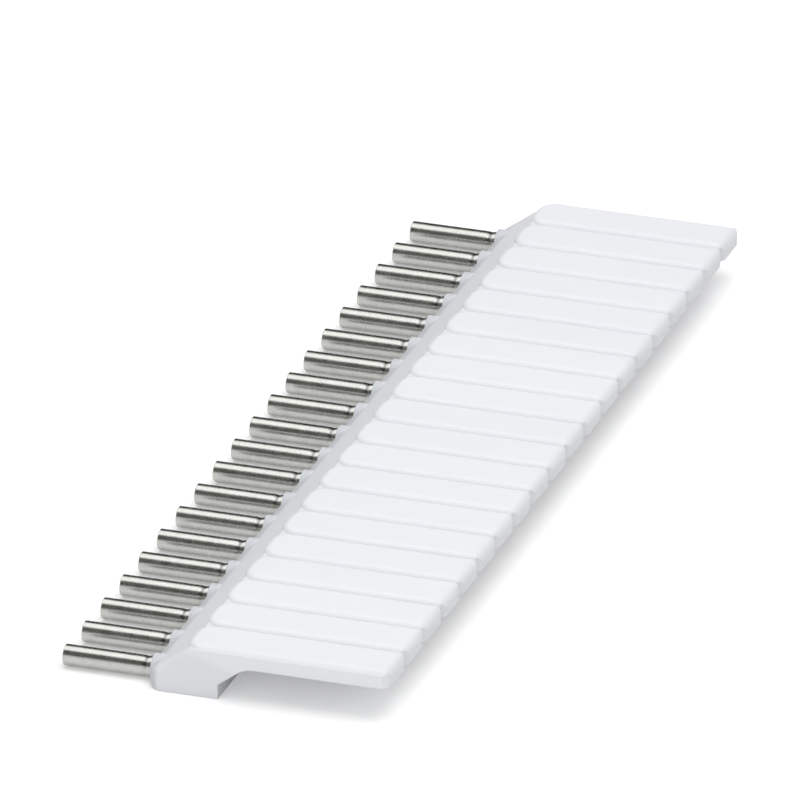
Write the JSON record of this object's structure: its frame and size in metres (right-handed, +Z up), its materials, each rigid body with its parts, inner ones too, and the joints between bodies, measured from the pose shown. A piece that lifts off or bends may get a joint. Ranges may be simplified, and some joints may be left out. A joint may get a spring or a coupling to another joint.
{
  "type": "terminal block insertion bridge",
  "caption": "Insulated comb jumper: a row of round metal contact pins joined inside one white stepped moulding that ends in a plate of ribbed grip fingers.",
  "frame": {"origin": "middle of the whole part, on the surface that its foot stands on", "axes": "+X from the pins to the finger ends, +Y along the row of poles, +Z up from the foot"},
  "size_m": [0.0376, 0.1238, 0.0059],
  "materials": {
    "white_plastic": "satin moulded",
    "copper": "bare stamped strip",
    "tinned_metal": "bright tin plated"
  },
  "bodies": {
    "root": {"housing": "white_plastic", "bus_bar": "copper", "pin_01": "tinned_metal", "pin_02": "tinned_metal", "pin_03": "tinned_metal", "pin_04": "tinned_metal", "pin_05": "tinned_metal", "pin_06": "tinned_metal", "pin_07": "tinned_metal", "pin_08": "tinned_metal", "pin_09": "tinned_metal", "pin_10": "tinned_metal", "pin_11": "tinned_metal", "pin_12": "tinned_metal", "pin_13": "tinned_metal", "pin_14": "tinned_metal", "pin_15": "tinned_metal", "pin_16": "tinned_metal", "pin_17": "tinned_metal", "pin_18": "tinned_metal", "pin_19": "tinned_metal", "pin_20": "tinned_metal"}
  },
  "joints": []
}
